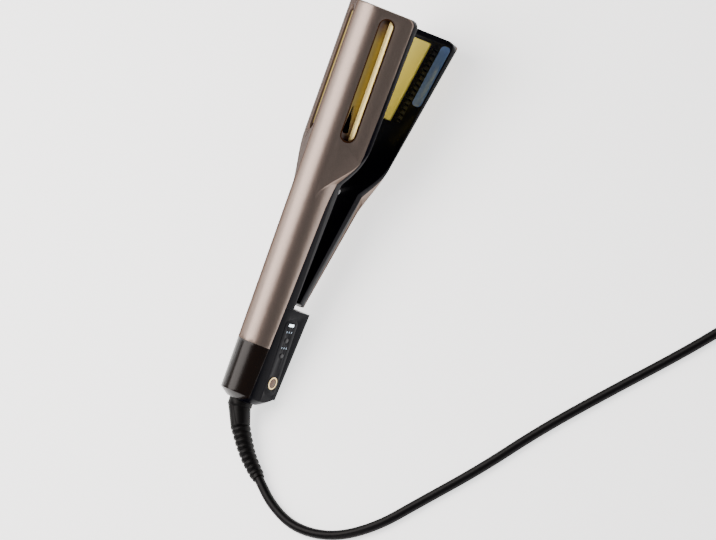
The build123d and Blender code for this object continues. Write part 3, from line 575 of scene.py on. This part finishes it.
class HS_OT_cord(bpy.types.Operator):
    """Lay the cord with its strain relief, coil, strap and plug"""

    bl_idname = "straightener.cord"
    bl_label = "Cord"

    def execute(self, context):
        size = sizes()
        route = [Vector(point) for point in (CORD_EXIT, *CORD_ROUTE)]
        along = (route[-1] - route[-2]).normalized()
        route += coil_points(route[-1], along)
        line = bpy.data.curves.new("cord", "CURVE")
        line.dimensions = "3D"
        spline = line.splines.new("NURBS")
        spline.points.add(len(route) - 1)
        # The points carry the sheath's radius and the bevel is 1, so the curve's own box is true
        for point, place in zip(spline.points, route):
            point.co = (*place, 1.0)
            point.radius = size.cord_diameter / 2
        spline.order_u = 3
        spline.use_endpoint_u = True
        spline.resolution_u = 6
        line.bevel_depth = 1.0
        line.bevel_resolution = 5
        line.use_fill_caps = True
        cord = bpy.data.objects.new("cord_run", line)
        context.scene.collection.objects.link(cord)
        dress(cord, finish("sheath"))
        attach(cord, "cord")
        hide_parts("cord_lead", "cord_coil")
        relief = skin("strain_relief", 0.0, RELIEF_ANGLE)
        plug = skin("plug_body", size.small_edge)
        tie = skin("cable_tie", size.small_edge)
        pins = frame["nodes"]["plug_pins"]
        dress(pins, finish_of("plug_pins"))
        cord_length(cord)
        return {"FINISHED"}


def cord_length(cord):
    """Length of the cord's own line."""
    depth, cord.data.bevel_depth = cord.data.bevel_depth, 0.0
    mesh = bpy.data.meshes.new_from_object(cord)
    places = [vertex.co.copy() for vertex in mesh.vertices]
    bpy.data.meshes.remove(mesh)
    cord.data.bevel_depth = depth
    return sum((after - before).length for before, after in zip(places, places[1:]))


class HS_OT_shells(bpy.types.Operator):
    """Round and lacquer the two outer shells"""

    bl_idname = "straightener.shells"
    bl_label = "Outer Shells"

    def execute(self, context):
        for node in ("upper_shell", "lower_shell"):
            piece = skin(node, sizes().shell_edge)
            dress(piece, finish("champagne"), finish("painted_edge_sheen"))
            parting = facing(node.split("_")[0])
            # Faces turned towards the other arm take the painted edge sheen, a copper line painted where the
            # rounded edge catches the light
            for face in piece.data.polygons:
                if face.normal.dot(parting) > PARTING_FACING:
                    face.material_index = 1
        return {"FINISHED"}


class HS_OT_vents(bpy.types.Operator):
    """Gild the vent liners facet by facet: painted light on the facet towards the light, painted shade on the
    wall, the ends and the rim
    """

    bl_idname = "straightener.vents"
    bl_label = "Vent Liners"

    def execute(self, context):
        ridge = Vector(JOINTS["cord_swivel"]["axis"])
        for node in ("upper_vent_liners", "lower_vent_liners"):
            piece = skin(node, 0.0)
            dress(piece, finish("gold_painted_lit_facet"), finish("gold_painted_shaded_wall"), finish("gold_painted_shaded_end"))
            height = -1 if node.startswith("upper") else 1
            for face in piece.data.polygons:
                side = math.copysign(1, face.center.y)
                down = Vector((0, side, height)).normalized()
                lean = face.normal.dot(Vector((0, side, -height)).normalized())
                # Ends and rim take the painted shade of the ends, faces turned outwards and down take the wall's
                # painted shade, the rest the painted light
                if abs(face.normal.dot(ridge)) > VENT_END_FACING or lean > VENT_RIM_FACING:
                    face.material_index = 2
                elif face.normal.dot(down) > VENT_WALL_FACING:
                    face.material_index = 1
        return {"FINISHED"}


class HS_OT_inside_faces(bpy.types.Operator):
    """Finish the inner casings, plates, combs and side panels"""

    bl_idname = "straightener.inside_faces"
    bl_label = "Inner Casings and Plates"

    def execute(self, context):
        size = sizes()
        for node in ("upper_inner_casing", "lower_inner_casing", "upper_plate", "lower_plate"):
            skin(node, size.small_edge)
        panels = skin("side_panels", size.small_edge)
        spread = [abs(vertex.co.y) for vertex in panels.data.vertices]
        middle = (min(spread) + max(spread)) / 2
        only(panels)
        bpy.ops.object.mode_set(mode="EDIT")
        bpy.ops.mesh.select_all(action="DESELECT")
        bpy.ops.object.mode_set(mode="OBJECT")
        # Fault that is kept: the near panel widens at its rim, and the far one shifts whole
        # The panels are slate in their own right; widening them to the comb would carry slate over black casing as
        # a painted reflection of the bright studio
        for vertex in panels.data.vertices:
            vertex.select = not -middle < vertex.co.y < 0
        bpy.ops.object.mode_set(mode="EDIT")
        bpy.ops.transform.translate(value=(0, -PANEL_SHIFT, 0))
        bpy.ops.mesh.select_all(action="SELECT")
        bpy.ops.transform.translate(value=facing("lower") * PANEL_PROUD)
        bpy.ops.object.mode_set(mode="OBJECT")
        skin("combs", 0.0, COMB_ANGLE)
        return {"FINISHED"}


class HS_OT_base(bpy.types.Operator):
    """Finish the base with its cap, fascia, buttons and lamps"""

    bl_idname = "straightener.base"
    bl_label = "Base and Controls"

    def execute(self, context):
        size = sizes()
        for node in ("base_housing", "end_cap"):
            skin(node, size.shell_edge * 0.6)
        for node in (
            "control_fascia", "power_bezel", "power_button", "cooler_button", "hotter_button",
            "status_light", "indicator_lamps", "swivel_bearing", "swivel_drum",
        ):
            skin(node, size.small_edge)
        return {"FINISHED"}


class HS_OT_inner_parts(bpy.types.Operator):
    """Give every node that is still plain its finish"""

    bl_idname = "straightener.inner_parts"
    bl_label = "Inner Parts"

    def execute(self, context):
        for name, node in frame["nodes"].items():
            if not node.hide_render:
                dress(node, finish_of(name))
        return {"FINISHED"}


def area_light(name, place, target, width, height, power, tint):
    """Hang a softbox that faces a point."""
    data = bpy.data.lights.new(name, "AREA")
    data.shape = "RECTANGLE"
    data.size, data.size_y = width, height
    data.energy = power
    data.color = linear(tint)
    light = bpy.data.objects.new(name, data)
    bpy.context.scene.collection.objects.link(light)
    light.location = place
    light.rotation_euler = (Vector(target) - Vector(place)).to_track_quat("-Z", "Y").to_euler()


class HS_OT_stage(bpy.types.Operator):
    """Lay a pale floor and hang the softboxes"""

    bl_idname = "straightener.stage"
    bl_label = "Studio"

    def execute(self, context):
        bpy.ops.object.select_all(action="DESELECT")
        bpy.ops.mesh.primitive_plane_add(size=FLOOR_SIDE, location=(0, 0, -FLOOR_DROP))
        floor = context.object
        floor.name = "floor"
        material, shader, place = new_material("matte_white_paper")
        set_shader(
            shader, Roughness=0.9, Specular_IOR_Level=0.1, Emission_Color=(1.0, 1.0, 1.0),
            Emission_Strength=FLOOR_GLOW,
        )
        grain(material, shader, place, 4.0 * MM, 0.02 * MM, linear("#fbfbfb"), linear("#ffffff"))
        dress(floor, material)
        world = bpy.data.worlds.new("studio")
        world.use_nodes = True
        sky = world.node_tree.nodes["Background"]
        sky.inputs["Color"].default_value = (*linear("#fbfbfd"), 1.0)
        sky.inputs["Strength"].default_value = WORLD_STRENGTH
        context.scene.world = world
        for softbox in SOFTBOXES:
            area_light(*softbox)
        return {"FINISHED"}


class HS_PT_panel(bpy.types.Panel):
    """Sidebar with the straightener's parts"""

    bl_label = "Hair Straightener"
    bl_idname = "HS_PT_panel"
    bl_space_type = "VIEW_3D"
    bl_region_type = "UI"
    bl_category = "Straightener"

    def draw(self, context):
        for group in (context.scene.straightener_sizes, context.scene.straightener_colours):
            for name in group.__annotations__:
                self.layout.prop(group, name)
        for operator in OPERATORS:
            self.layout.operator(operator.bl_idname)


OPERATORS = (
    HS_OT_camera, HS_OT_cord, HS_OT_shells, HS_OT_vents, HS_OT_inside_faces, HS_OT_base, HS_OT_inner_parts,
    HS_OT_stage,
)
CLASSES = (StraightenerSizes, StraightenerColours, *OPERATORS, HS_PT_panel)


def register():
    """Register the classes and hang the sizes and colours on the scene."""
    for each in CLASSES:
        bpy.utils.register_class(each)
    bpy.types.Scene.straightener_sizes = bpy.props.PointerProperty(type=StraightenerSizes)
    bpy.types.Scene.straightener_colours = bpy.props.PointerProperty(type=StraightenerColours)


def unregister():
    """Take the sizes, colours and classes away again."""
    del bpy.types.Scene.straightener_colours
    del bpy.types.Scene.straightener_sizes
    for each in reversed(CLASSES):
        bpy.utils.unregister_class(each)


def main():
    """Make every part and the studio."""
    register()
    bpy.ops.straightener.camera()
    bpy.ops.straightener.cord()
    bpy.ops.straightener.shells()
    bpy.ops.straightener.vents()
    bpy.ops.straightener.inside_faces()
    bpy.ops.straightener.base()
    bpy.ops.straightener.inner_parts()
    bpy.ops.straightener.stage()
    bpy.context.view_layer.update()


if __name__ == "__main__":
    main()
